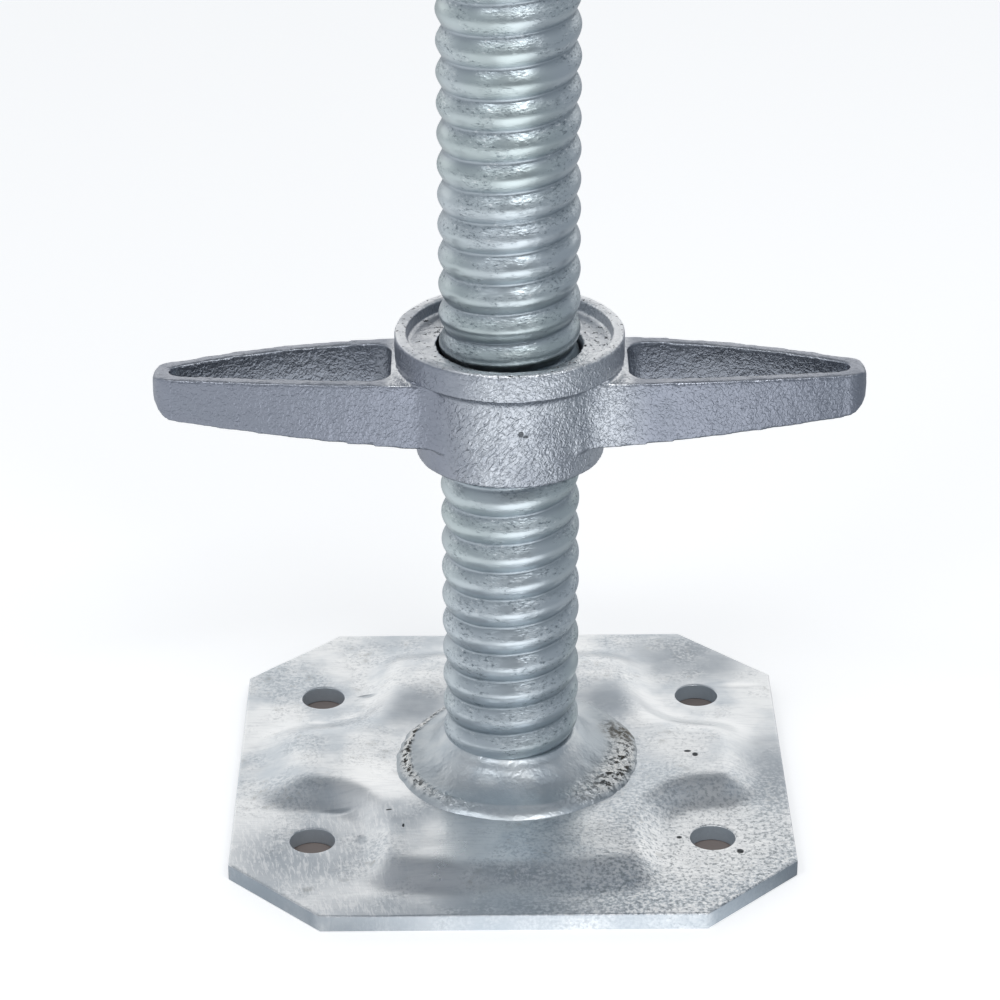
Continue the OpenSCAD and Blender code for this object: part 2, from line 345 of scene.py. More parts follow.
@dataclass(frozen=True)
class GalvanisedSheet:
    """Hot-dip galvanised steel sheet, pressed and handled.

    The zinc gives a pale satin metal with cloudy bluish patches that are dull
    and painted darker, partly as painted shade, on the front left pad and
    behind the weld, a fine dark and bright grain that is strongest on the
    right, and short bright scuffs on the left.  Patches are painted lighter on
    the right, with a painted highlight left of the weld and along the creases.
    """

    pale: str = "#eceeef"
    cloud: str = "#c2cad1"
    dull_and_shade: str = "#a6aeb6"
    speck: str = "#7a8288"
    flake_and_highlight: str = "#f8f9f9"
    scuff: str = "#f0f1f2"
    dirt: str = "#7d7f7c"
    pit: str = "#3c4043"
    stain_and_shade: str = "#7f8b96"
    cut: str = "#b4bcc3"
    # Sizes of the clouds, of the patches of grain and of the grain itself
    cloud_size: float = 26 * MM
    patch_size: float = 15 * MM
    speck_size: float = 1.0 * MM
    # Widths of the streaks and scuffs, and size of the grime's spots
    streak_size: float = 0.8 * MM
    grime_size: float = 4 * MM
    # Sizes and depths of the relief
    wave_size: float = 9 * MM
    wave_depth: float = 0.5 * MM
    streak_depth: float = 0.04 * MM
    fold_depth: float = 0.3 * MM
    dimple_size: float = 1.3 * MM
    dimple_depth: float = 0.16 * MM
    # Reach from the axis beyond which steep faces are the rim's cut faces
    rim_from: float = 49 * MM
    rim_to: float = 52 * MM
    # Small dark pits in the zinc
    pits: tuple[Spot, ...] = (
        spot((60.2, -45.2, 5), (1.2, 1.3, 3)),
        spot((44.4, -38.0, 5), (0.9, 0.8, 3)),
        spot((48.6, -0.8, 9), (1.2, 0.7, 3)),
        spot((50.6, -2.6, 9), (1.0, 1.2, 3)),
        spot((-29.0, -38.0, 9), (0.4, 1.0, 3)),
        spot((-33.0, -30.0, 9), (1.0, 0.4, 3)),
    )
    # Dull zinc, rougher and painted darker: the front left pad, both sides behind the weld, the
    # back right pad, the front rim, the front lobe's left half and foot, and the right rim; the
    # darkening is partly painted shade, as on the front lobe's foot and behind the weld
    dulled_and_shaded: tuple[Spot, ...] = (
        spot((-55, -46, 6), (34, 27, 20)),
        spot((-27, 26, 9), (14, 17, 20)),
        spot((28, 29, 9), (13, 15, 20)),
        spot((54, 60, 5), (30, 20, 20)),
        spot((-12, -72, 5), (58, 12, 20)),
        spot((-29, -31, 9), (18, 12, 20)),
        spot((0, -59, 7), (20, 6, 20)),
        spot((71, -3, 5), (13, 27, 20)),
    )
    # Painted lighter: the front right pad and the right lobe, and a painted highlight left of the
    # weld
    bright_and_highlit: tuple[Spot, ...] = (
        spot((54, -40, 6), (28, 24, 20)),
        spot((46, 3, 9), (14, 15, 20)),
        spot((-40, -10, 9), (12, 14, 20)),
    )
    # Bluish dents and a thumb print in the zinc
    dents: tuple[Spot, ...] = (
        spot((-40.8, 38.2, 6), (3.6, 1.3, 6)),
        spot((-47.0, -24.4, 6), (6.0, 1.8, 6)),
        spot((-40.2, -38.6, 6), (2.3, 3.4, 6)),
    )
    # Raised creases, painted bright along them as a painted highlight
    creases: tuple[Spot, ...] = (
        spot((66.0, 43.8, 6), (8.5, 2.4, 6)),
        spot((-54.5, 23.8, 8), (6.0, 1.3, 6)),
        spot((-46.0, 26.0, 8), (7.0, 1.3, 6)),
    )

    def material(self, hole_x: float, hole_y: float, hole_r: float) -> bpy.types.Material:
        """Builds the sheet's material.

        Args:
            hole_x: distance of the nail holes from the middle, along X.
            hole_y: the same along Y.
            hole_r: the nail holes' radius.

        Returns:
            The material.
        """
        material, nodes = blank_material("galvanised_steel_sheet")
        place = nodes.place()
        clouds = nodes.noise(place, self.cloud_size, 4.0, 0.6)
        patches = nodes.ramp(nodes.noise(place, self.patch_size, 3.0), 0.42, 0.6)
        cloudy = nodes.ramp(clouds, 0.25, 0.5, 1.0, 0.6)
        dulled_and_shaded = nodes.both(nodes.spots(place, self.dulled_and_shaded, 0.2), cloudy)
        level = self._grain_level(nodes, place, patches)
        colour = self._zinc(nodes, place, clouds, dulled_and_shaded, level)
        # Faint streaks along X, where the plate slid on its bed
        streaks = nodes.noise(nodes.stretched(place, (0.14, 1.0, 0.3)), self.streak_size, 2.0)
        colour = nodes.tint(nodes.ramp(streaks, 0.5, 0.68, 0.14), colour, self.dull_and_shade)
        scuffs = self._scuffs(nodes, place)
        colour = nodes.tint(nodes.both(scuffs, 0.5), colour, self.scuff)
        # Grime in patches, dents, creases and pits
        grime = nodes.ramp(nodes.noise(place, self.grime_size, 4.0, 0.75), 0.56, 0.72, 0.5)
        colour = nodes.tint(nodes.both(grime, patches), colour, self.dirt)
        dents = nodes.spots(place, self.dents, 0.3)
        colour = nodes.tint(nodes.both(dents, 0.5), colour, self.stain_and_shade)
        creases = nodes.spots(place, self.creases, 0.1)
        # Painted highlight along the creases
        colour = nodes.tint(nodes.both(creases, 0.8), colour, self.flake_and_highlight)
        pits = nodes.spots(place, self.pits)
        colour = nodes.tint(pits, colour, self.pit)
        steep = nodes.looks_up(0.5, 0.2)
        colour = self._cut_faces(nodes, place, clouds, steep, colour)
        # The holes' walls are dull
        wide = hole_r + 1.5 * MM
        bores = tuple(
            ((sx * hole_x, sy * hole_y, 3 * MM), (wide, wide, 12 * MM))
            for sx in (-1, 1)
            for sy in (-1, 1)
        )
        walls = nodes.both(steep, nodes.spots(place, bores, 0.9))
        colour = nodes.tint(walls, colour, self.cut)
        bare = nodes.ramp(walls, 0.0, 1.0, 0.3, 1.0)
        rough = nodes.ramp(clouds, 0.3, 0.7, 0.34, 0.27)
        rough = nodes.math("ADD", rough, nodes.both(dulled_and_shaded, 0.1))
        rough = nodes.math("ADD", rough, nodes.both(level, 0.06))
        # Relief, from the widest waves down to the dimples
        waves = nodes.relief(nodes.noise(place, self.wave_size, 1.0), self.wave_depth, 0.3)
        brushed = nodes.relief(nodes.math("ADD", streaks, scuffs), self.streak_depth, 0.5, waves)
        pressed = nodes.math("SUBTRACT", nodes.both(creases, 0.4), nodes.both(dents, 0.6))
        folded = nodes.relief(pressed, self.fold_depth, 0.8, brushed)
        dimples = nodes.noise(place, self.dimple_size, 1.0, 0.5, 0.5)
        sunk = nodes.math("SUBTRACT", nodes.both(dimples, nodes.math("ADD", level, 0.15)), pits)
        nodes.metal(colour, rough, nodes.relief(sunk, self.dimple_depth, 0.7, folded), bare)
        return material

    @staticmethod
    def _grain_level(nodes: Nodes, place: Socket, patches: Socket) -> Socket:
        """How strong the frozen zinc's grain is: full at the front right, else in patches."""
        axes = nodes.axes(place)
        right = nodes.ramp(axes["X"], -20 * MM, 45 * MM)
        front = nodes.ramp(axes["Y"], 15 * MM, -50 * MM)
        return nodes.math("MAXIMUM", nodes.both(right, front), nodes.both(patches, 0.4))

    def _zinc(
        self, nodes: Nodes, place: Socket, clouds: Socket, dulled_and_shaded: Socket, level: Socket
    ) -> Socket:
        """Colours the frozen zinc.

        Args:
            nodes: the material's nodes.
            place: the object coordinates.
            clouds: the cloudy pattern.
            dulled_and_shaded: mask of the dull places.
            level: strength of the grain.

        Returns:
            The colour.
        """
        colour = nodes.tint(nodes.ramp(clouds, 0.42, 0.66, 0.85), self.pale, self.cloud)
        # Dull patches painted darker, partly as painted shade
        colour = nodes.tint(nodes.both(dulled_and_shaded, 0.8), colour, self.dull_and_shade)
        # Lighter patches, with a painted highlight left of the weld
        bright_and_highlit = nodes.spots(place, self.bright_and_highlit, 0.2)
        colour = nodes.tint(nodes.both(bright_and_highlit, 0.85), colour, self.flake_and_highlight)
        grain = nodes.noise(place, self.speck_size, 3.0, 0.65)
        specks = nodes.both(nodes.ramp(grain, 0.49, 0.36, 0.7), level)
        colour = nodes.tint(specks, colour, self.speck)
        flakes = nodes.both(nodes.ramp(grain, 0.49, 0.58, 0.95), level)
        return nodes.tint(flakes, colour, self.flake_and_highlight)

    def _scuffs(self, nodes: Nodes, place: Socket) -> Socket:
        """Mask of the scuffs that run back from the front left corner."""
        leaning = nodes.stretched(place, (1.0, 0.2, 0.3), (0.0, 0.0, -9.0))
        scuffs = nodes.ramp(nodes.noise(leaning, self.streak_size, 3.0, 0.65, 0.5), 0.47, 0.63)
        axes = nodes.axes(place)
        left = nodes.ramp(axes["X"], -14 * MM, -42 * MM)
        return nodes.both(scuffs, left, nodes.ramp(axes["Y"], -12 * MM, -32 * MM))

    def _cut_faces(
        self, nodes: Nodes, place: Socket, clouds: Socket, steep: Socket, colour: Socket
    ) -> Socket:
        """Gives the cut faces round the rim a pale bluish skin, painted darker at the sides as
        painted shade.

        Args:
            nodes: the material's nodes.
            place: the object coordinates.
            clouds: the cloudy pattern.
            steep: mask of the steep faces.
            colour: the colour so far.

        Returns:
            The colour.
        """
        sheared = nodes.both(steep, nodes.ramp(nodes.reach(place), self.rim_from, self.rim_to))
        pale = nodes.ramp(clouds, 0.4, 0.6, 0.85, 0.4)
        colour = nodes.tint(nodes.both(sheared, pale), colour, self.cut)
        # Painted shade on the cut faces at the left and right sides
        across = nodes.math("ABSOLUTE", nodes.axes(place)["X"])
        aside = nodes.ramp(across, self.rim_from, self.rim_to + 1 * MM)
        return nodes.tint(nodes.both(sheared, aside, 0.6), colour, self.stain_and_shade)


@dataclass(frozen=True)
class GalvanisedThread:
    """Hot-dip galvanised rolled thread.

    The zinc runs smooth and bright over the crests, is painted darker and
    bluish in the grooves as painted shade, and is gritty in patches on the
    flanks that look up.
    """

    crest: str = "#c8d1d7"
    groove: str = "#a9b3ba"
    green: str = "#bac8c6"
    grit: str = "#66727b"
    spark: str = "#f4f7f9"
    # Sizes of the zinc's tints, of the gritty patches and of the grit
    tint_size: float = 40 * MM
    patch_size: float = 10 * MM
    grit_size: float = 1.4 * MM
    # Sizes and depths of the relief
    wave_size: float = 6 * MM
    wave_depth: float = 0.5 * MM
    run_size: float = 2.0 * MM
    run_depth: float = 0.1 * MM
    lump_size: float = 1.1 * MM
    lump_depth: float = 0.12 * MM

    def material(self, crest_r: float, root_r: float) -> bpy.types.Material:
        """Builds the thread's material.

        Args:
            crest_r: the thread's radius over its crests.
            root_r: its radius in its grooves.

        Returns:
            The material.
        """
        material, nodes = blank_material("galvanised_rolled_thread")
        place = nodes.place()
        height = nodes.ramp(nodes.reach(place), root_r, crest_r - 0.5 * MM)
        # Patterns are drawn out along the thread, because the zinc drains round it
        drawn = nodes.stretched(place, (1.0, 1.0, 2.2))
        tint = nodes.ramp(nodes.noise(place, self.tint_size, 1.0), 0.42, 0.66, 0.6)
        # The grooves are painted darker, a painted shade
        colour = nodes.tint(height, self.groove, nodes.tint(tint, self.crest, self.green))
        patches = nodes.noise(drawn, self.patch_size, 3.0, 0.6)
        flank = nodes.looks_up(0.05, 0.3)
        upper = nodes.both(nodes.ramp(patches, 0.38, 0.56), flank)
        gritty = nodes.math("MAXIMUM", upper, nodes.ramp(patches, 0.5, 0.62))
        grit = nodes.noise(drawn, self.grit_size, 4.0, 0.75)
        shadows = nodes.both(nodes.ramp(grit, 0.49, 0.34, 0.8), gritty)
        colour = nodes.tint(shadows, colour, self.grit)
        sparks = nodes.both(nodes.ramp(grit, 0.56, 0.7, 0.7), gritty)
        colour = nodes.tint(sparks, colour, self.spark)
        rough = nodes.ramp(patches, 0.35, 0.65, 0.37, 0.3)
        rough = nodes.math("ADD", rough, nodes.both(gritty, 0.06))
        waves = nodes.relief(nodes.noise(drawn, self.wave_size, 1.0), self.wave_depth, 0.14)
        hanging = nodes.stretched(place, (1.0, 1.0, 0.25))
        runs = nodes.relief(nodes.noise(hanging, self.run_size, 1.0), self.run_depth, 0.3, waves)
        lumps = nodes.noise(drawn, self.lump_size, 1.0, 0.5, 0.4)
        lumps = nodes.both(lumps, nodes.math("ADD", gritty, 0.15))
        nodes.metal(colour, rough, nodes.relief(lumps, self.lump_depth, 0.8, runs))
        return material


@dataclass(frozen=True)
class WeldSkin:
    """Fillet weld under zinc.

    The bead is smooth and grey and painted darker towards its sides, and its
    toe is a crumbly line of spatter, painted bright on its crumbs as a painted
    highlight and painted dark in its crevices as painted shade.  The mesh
    carries the masks of the crumbs and of the burnt crater beside them as
    attributes, named toe and burn.
    """

    bead: str = "#c1c9cf"
    dull_and_shade: str = "#98a0a6"
    crumb: str = "#f4f4f2"
    crevice_shade: str = "#4f4d49"
    burn: str = "#77746d"
    cloud_size: float = 9 * MM
    crumb_size: float = 1.7 * MM
    crumb_depth: float = 1.2 * MM
    ripple_size: float = 1.4 * MM
    ripple_depth: float = 0.12 * MM

    def material(self) -> bpy.types.Material:
        """Builds the weld's material."""
        material, nodes = blank_material("galvanised_weld_bead")
        place = nodes.place()
        toe = nodes.add("Attribute", attribute_name="toe").outputs["Fac"]
        burn = nodes.add("Attribute", attribute_name="burn").outputs["Fac"]
        crumbs = nodes.noise(place, self.crumb_size, 4.0, 0.65)
        clouds = nodes.noise(place, self.cloud_size, 3.0)
        colour = nodes.tint(nodes.ramp(clouds, 0.4, 0.65, 0.3), self.bead, self.crumb)
        # The bead is painted darker towards its sides
        aside = nodes.math("ABSOLUTE", nodes.axes(place)["X"])
        colour = nodes.tint(nodes.ramp(aside, 14 * MM, 27 * MM, 0.55), colour, self.dull_and_shade)
        # Painted highlights on the toe's crumbs and painted shade in its crevices
        colour = nodes.tint(nodes.both(nodes.ramp(crumbs, 0.4, 0.56), toe), colour, self.crumb)
        colour = nodes.tint(nodes.both(nodes.ramp(crumbs, 0.51, 0.42), toe), colour, self.crevice_shade)
        colour = nodes.tint(nodes.both(nodes.ramp(crumbs, 0.62, 0.42), burn), colour, self.burn)
        rough = nodes.math("ADD", nodes.both(toe, 0.14), nodes.both(burn, 0.2))
        rough = nodes.math("ADD", rough, 0.4)
        lumps = nodes.noise(place, self.crumb_size * 0.8, 1.5, 0.5, 0.6)
        crumbled = nodes.both(lumps, nodes.math("ADD", toe, 0.08))
        coarse = nodes.relief(crumbled, self.crumb_depth, 1.0)
        fine = nodes.noise(place, self.ripple_size, 1.0, 0.5)
        nodes.metal(colour, rough, nodes.relief(fine, self.ripple_depth, 0.6, coarse))
        return material


@dataclass(frozen=True)
class ZincCasting:
    """Rough iron casting, hot-dip galvanised.

    A violet-grey metal whose sand-cast skin shows as a fine sparkling grain
    with slanting wrinkles, and with dark pores in the cup's floor.
    """

    grey: str = "#c3c8cf"
    shade: str = "#9298a3"
    pore: str = "#33373b"
    wing: str = "#9196a2"
    hollow: str = "#8b9099"
    top: str = "#eef0f2"
    beneath_shade: str = "#747a84"
    cloud_size: float = 15 * MM
    grain_size: float = 1.0 * MM
    pore_size: float = 1.6 * MM
    pore_depth: float = 0.35 * MM
    # Sizes and depths of the skin's crumples and of its slanting wrinkles
    crumple_size: float = 0.95 * MM
    crumple_depth: float = 0.5 * MM
    wrinkle_size: float = 1.0 * MM
    wrinkle_depth: float = 0.85 * MM
    cup_floor_z: float = 131.8 * MM
    # Scratch and blowhole on the barrel's front
    scars: tuple[Spot, ...] = (
        spot((2.6, -25.4, 117.6), (0.8, 2, 1.0)),
        spot((3.8, -25.4, 116.8), (1.0, 2, 0.4)),
    )

    def material(self) -> bpy.types.Material:
        """Builds the casting's material."""
        material, nodes = blank_material("galvanised_iron_casting")
        place = nodes.place()
        x = nodes.axes(place)["X"]
        clouds = nodes.noise(place, self.cloud_size, 4.0, 0.6)
        up = nodes.looks_up(0.35, 0.75)
        # The wings and the barrel's far left
        far_left = nodes.ramp(x, -5 * MM, -20 * MM)
        outer = nodes.math("MAXIMUM", nodes.ramp(x, 24 * MM, 38 * MM), far_left)
        colour = self._zinc(nodes, place, clouds, outer, up)
        # Sand grain, strongest on the barrel
        grain = nodes.noise(place, self.grain_size, 4.0, 0.75, 0.4)
        flat = nodes.ramp(up, 0.0, 1.0, 0.55, 1.0)
        strength = nodes.both(nodes.ramp(outer, 0.0, 1.0, 0.5, 1.0), flat)
        hollows = nodes.both(nodes.ramp(grain, 0.48, 0.36, 0.5), strength)
        colour = nodes.tint(hollows, colour, self.shade)
        dark = self._pores(nodes, place, up)
        colour = nodes.tint(dark, colour, self.pore)
        rough = nodes.ramp(clouds, 0.3, 0.7, 0.4, 0.33)
        nodes.metal(colour, rough, self._skin(nodes, place, outer, strength, dark))
        return material

    def _zinc(
        self, nodes: Nodes, place: Socket, clouds: Socket, outer: Socket, up: Socket
    ) -> Socket:
        """Colours the zinc, with painted shade on the wings and the barrel's far left, deeper
        painted shade inside the wings' openings, painted light on faces that look up and painted
        shade on faces that look down.

        Args:
            nodes: the material's nodes.
            place: the object coordinates.
            clouds: the cloudy pattern.
            outer: mask of the wings.
            up: mask of the faces that look up.

        Returns:
            The colour.
        """
        axes = nodes.axes(place)
        normal = nodes.axes(nodes.add("NewGeometry").outputs["Normal"])
        inwards = nodes.ramp(nodes.both(normal["Y"], axes["Y"]), 0.0, -3 * MM)
        # Painted shade on the wings and the barrel's far left
        colour = nodes.tint(outer, self.grey, self.wing)
        # Deeper painted shade inside the wings' openings
        colour = nodes.tint(nodes.both(outer, inwards), colour, self.hollow)
        # Faces that look up are painted lighter, a painted light that is strongest on the cup
        wings = nodes.ramp(nodes.math("ABSOLUTE", axes["X"]), 29 * MM, 34 * MM)
        lit_top = nodes.both(up, nodes.ramp(wings, 0.0, 1.0, 0.15, 0.85))
        colour = nodes.tint(lit_top, colour, self.top)
        # Painted shade on faces that look down, under the cup
        colour = nodes.tint(nodes.ramp(normal["Z"], -0.2, -0.55, 0.8), colour, self.beneath_shade)
        return nodes.tint(nodes.ramp(clouds, 0.44, 0.66, 0.45), colour, self.shade)

    def _pores(self, nodes: Nodes, place: Socket, up: Socket) -> Socket:
        """Mask of the dark pores, fewest in the cup's floor, and of the scars.

        Args:
            nodes: the material's nodes.
            place: the object coordinates.
            up: mask of the faces that look up.

        Returns:
            The mask.
        """
        above = nodes.ramp(nodes.axes(place)["Z"], self.cup_floor_z, self.cup_floor_z + 0.5 * MM)
        pores = nodes.ramp(nodes.noise(place, self.pore_size, 3.0, 0.7), 0.4, 0.34)
        pitted = nodes.both(pores, up, nodes.math("ADD", nodes.both(above, 0.75), 0.25))
        scars = nodes.spots(place, self.scars)
        return nodes.math("MAXIMUM", pitted, nodes.both(scars, 0.8))

    def _skin(
        self, nodes: Nodes, place: Socket, outer: Socket, strength: Socket, dark: Socket
    ) -> Socket:
        """Raises the sand mould's skin: slanting wrinkles on the left, crumples all over.

        Args:
            nodes: the material's nodes.
            place: the object coordinates.
            outer: mask of the wings.
            strength: strength of the crumples.
            dark: mask of the pores and scars.

        Returns:
            The normal.
        """
        axes = nodes.axes(place)
        slanting = nodes.stretched(place, (1.0, 1.0, 0.35), (0.0, -38.0, 0.0))
        wrinkles = nodes.noise(slanting, self.wrinkle_size, 1.0, 0.5, 0.6)
        left = nodes.ramp(axes["X"], 14 * MM, -4 * MM, 1.0, 0.3)
        barrel = nodes.both(
            nodes.ramp(axes["Z"], 127 * MM, 123 * MM), nodes.ramp(outer, 0.95, 0.5)
        )
        slant = nodes.both(left, nodes.ramp(barrel, 0.0, 1.0, 1.0, 0.15))
        folded = nodes.relief(nodes.both(wrinkles, slant), self.wrinkle_depth, 1.0)
        crumple = nodes.noise(place, self.crumple_size, 1.0, 0.5, 0.8)
        fine = nodes.ramp(slant, 0.2, 1.0, 0.55, 1.0)
        grained = nodes.relief(nodes.both(crumple, fine, strength), self.crumple_depth, 1.0, folded)
        return nodes.relief(nodes.math("SUBTRACT", 1.0, dark), self.pore_depth, 0.8, grained)


@dataclass
class PressedPlate:
    """Square base plate with cut corners, nail holes and a pressed cross."""

    half: float
    top: float
    hole_x: float
    hole_y: float
    hole_r: float
    thickness: float = 4.8 * MM
    drain_r: float = 8.0 * MM
    corner_cut: float = 25.0 * MM
    # Cell of the grid, and the cells from a hole's middle to where its rim joins the grid
    cell: float = 1.0 * MM
    hole_reach: int = 9
    drain_reach: int = 11
    # Flat pads round the nail holes, and the widths of the flanks beside them
    pad_rx: float = 14.0 * MM
    pad_ry: float = 15.0 * MM
    flank_px: float = 6.5 * MM
    flank_py: float = 10.0 * MM
    # Reach of the lobes' feet, and the widths of the flanks at their ends
    lobe_x: float = 67.8 * MM
    lobe_y: float = 66.2 * MM
    flank_x: float = 9.6 * MM
    flank_y: float = 12.7 * MM
    corner_r: float = 2.0 * MM
    lean: float = 0.9 * MM
    # Dish that the weld's heat left round it
    dish: float = 0.9 * MM
    dish_r: float = 31.0 * MM
    dish_w: float = 15.0 * MM
    edge_round: float = 0.4 * MM
    # Rounds of easing that give the press's soft edges, and more of them behind a line
    rounds: int = 8
    back_rounds: int = 18
    back_from: float = 10 * MM
    # Unevenness of the upper face: size and depth of its long and its short waves
    long_wave: tuple[float, float] = (24 * MM, 0.14 * MM)
    short_wave: tuple[float, float] = (8 * MM, 0.03 * MM)
    finish: GalvanisedSheet = GalvanisedSheet()

    def build(self) -> bpy.types.Object:
        """Makes and dresses the plate.

        Returns:
            The piece.
        """
        mesh = self._outline()
        for sx in (-1, 1):
            for sy in (-1, 1):
                centre = Vector((sx * self.hole_x, sy * self.hole_y, 0))
                self._cut_hole(mesh, centre, self.hole_r, self.hole_reach)
        self._cut_hole(mesh, Vector((0, 0, 0)), self.drain_r, self.drain_reach)
        for vert in mesh.verts:
            vert.co.z = self.thickness + self._rise(vert.co.x, vert.co.y)
        for _ in range(self.rounds):
            bmesh.ops.smooth_vert(mesh, verts=mesh.verts[:], factor=0.5, use_axis_z=True)
        behind = [vert for vert in mesh.verts if vert.co.y > self.back_from]
        for _ in range(self.back_rounds):
            bmesh.ops.smooth_vert(mesh, verts=behind, factor=0.5, use_axis_z=True)
        bmesh.ops.recalc_face_normals(mesh, faces=mesh.faces[:])
        if sum(face.normal.z for face in mesh.faces) < 0:
            bmesh.ops.reverse_faces(mesh, faces=mesh.faces[:])
        bmesh.ops.solidify(mesh, geom=mesh.faces[:], thickness=self.thickness)
        bmesh.ops.bevel(
            mesh,
            geom=sharp_edges(mesh, math.radians(60)),
            offset=self.edge_round,
            offset_type="OFFSET",
            affect="EDGES",
            segments=2,
            profile=0.5,
            material=-1,
            clamp_overlap=True,
        )
        self._wave(mesh)
        bmesh.ops.recalc_face_normals(mesh, faces=mesh.faces[:])
        material = self.finish.material(self.hole_x, self.hole_y, self.hole_r)
        piece = make_piece("base_plate_skin", mesh, material, Body.BASE)
        # Flat faces keep their own light up to the small rounds of their edges
        piece.modifiers.new("flat_faces", "WEIGHTED_NORMAL")
        return piece

    def _outline(self) -> bmesh.types.BMesh:
        """Makes the flat grid of the plate, with its corners cut off."""
        mesh = bmesh.new()
        count = round(2 * self.half / self.cell)
        bmesh.ops.create_grid(mesh, x_segments=count, y_segments=count, size=self.half)
        for sx in (-1, 1):
            for sy in (-1, 1):
                bmesh.ops.bisect_plane(
                    mesh,
                    geom=mesh.verts[:] + mesh.edges[:] + mesh.faces[:],
                    dist=0.01 * self.cell,
                    plane_co=(sx * (self.half - self.corner_cut), sy * self.half, 0),
                    plane_no=(sx, sy, 0),
                    clear_outer=True,
                )
        return mesh

    def _cut_hole(
        self, mesh: bmesh.types.BMesh, centre: Vector, radius: float, reach: int
    ) -> None:
        """Cuts a round hole and joins its edge to the grid.

        Args:
            mesh: the flat grid.
            centre: the hole's centre.
            radius: the hole's radius.
            reach: cells that the patch round the hole takes from its middle.
        """
        corner = [round(centre[i] / self.cell) * self.cell for i in (0, 1)]
        span = reach * self.cell + 0.1 * self.cell
        patch = [
            face
            for face in mesh.faces
            if all(
                abs(v.co.x - corner[0]) < span and abs(v.co.y - corner[1]) < span
                for v in face.verts
            )
        ]
        bmesh.ops.delete(mesh, geom=patch, context="FACES")
        rim = [
            edge
            for edge in mesh.edges
            if edge.is_boundary
            and all(
                abs(v.co.x - corner[0]) < span and abs(v.co.y - corner[1]) < span
                for v in edge.verts
            )
        ]
        for share in (0.4, 0.5, 1.0):
            drawn = bmesh.ops.extrude_edge_only(mesh, edges=rim)["geom"]
            rim = [e for e in drawn if isinstance(e, bmesh.types.BMEdge)]
            for vert in (v for v in drawn if isinstance(v, bmesh.types.BMVert)):
                out = (vert.co - centre).xy
                vert.co.xy = centre.xy + out.normalized() * (
                    out.length + (radius - out.length) * share
                )

    def _rise(self, x: float, y: float) -> float:
        """Finds how far the cross is pressed up at a place.

        Args:
            x: place along X.
            y: place along Y.

        Returns:
            The height above the flat rim.
        """
        ax, ay = abs(x), abs(y)
        # The left lobe runs out longer and softer than the right one
        left = ease(-30 * MM, -60 * MM, x)
        end_x = self.lobe_x + 2.5 * MM * left
        # The front and back feet bow inwards towards the corners
        end_y = self.lobe_y - 2.5 * MM * ease(12 * MM, 40 * MM, ax)
        pad = self._share(
            self.pad_rx,
            self.pad_ry,
            self.pad_rx + self.flank_px,
            self.pad_ry + self.flank_py,
            max(self.hole_x - ax, 0),
            max(self.hole_y - ay, 0),
        )
        side_y = self.hole_y - self.pad_ry
        side_x = self.hole_x - self.pad_rx
        flank_x = self.flank_x + 4 * MM * left
        lobe_x = self._lobe(ax, ay, end_x, side_y, flank_x, self.flank_py)
        lobe_y = self._lobe(ay, ax, end_y, side_x, self.flank_y, self.flank_px)
        # The front lobe's level top leans forward a little
        lean = self.lean * ease(-30 * MM, -54 * MM, y)
        dish = self.dish * bell(max(math.hypot(x, y) - self.dish_r, 0.0), self.dish_w)
        share = min(pad, lobe_x, lobe_y)
        share = (clamped(share) + ease(0, 1, share)) / 2
        return share * (self.top - self.thickness - lean) - dish

    def _lobe(
        self, along: float, across: float, end: float, side: float, flank: float, aside: float
    ) -> float:
        """Finds how far up the rounded end of a lobe a place lies.

        Args:
            along: place along the lobe.
            across: place across the lobe.
            end: reach of the lobe's foot.
            side: half of the width of the lobe's foot.
            flank: width of the flank at the end.
            aside: width of the flank at the side.

        Returns:
            The share of the way, 0 at the foot and 1 or more on the level top.
        """
        round_a, round_b = flank + self.corner_r, aside + self.corner_r
        past, off = along - (end - round_a), across - (side - round_b)
        if past <= 0:
            return 1.0
        if off <= 0 or across > side:
            return (round_a - past) / flank
        return 1.0 - self._share(self.corner_r, self.corner_r, round_a, round_b, past, off)

    @staticmethod
    def _share(
        low_a: float, low_b: float, high_a: float, high_b: float, a: float, b: float
    ) -> float:
        """Finds how far a place has gone from one ellipse out to a wider one.

        Args:
            low_a: the inner ellipse's first half axis.
            low_b: its second half axis.
            high_a: the outer ellipse's first half axis.
            high_b: its second half axis.
            a: the place, along the first axis.
            b: the place, along the second axis.

        Returns:
            The share of the way, 0 inside the inner one and 1 outside the wider one.
        """
        if (a / high_a) ** 2 + (b / high_b) ** 2 >= 1:
            return 1.0
        if (a / low_a) ** 2 + (b / low_b) ** 2 <= 1:
            return 0.0
        low, high = 0.0, 1.0
        for _ in range(14):
            mid = (low + high) / 2
            half_a = low_a + (high_a - low_a) * mid
            half_b = low_b + (high_b - low_b) * mid
            if (a / half_a) ** 2 + (b / half_b) ** 2 > 1:
                low = mid
            else:
                high = mid
        return low

    def _wave(self, mesh: bmesh.types.BMesh) -> None:
        """Lets the upper face run a little uneven, as pressed sheet does.

        Args:
            mesh: the solid plate.
        """
        long, deep = self.long_wave
        short, shallow = self.short_wave
        for vert in mesh.verts:
            if vert.normal.z > 0.5:
                lift = deep * ripple(vert.co, long) + shallow * ripple(vert.co, short, 3.0)
                vert.co.z = min(vert.co.z + lift - 0.1 * MM, self.top)


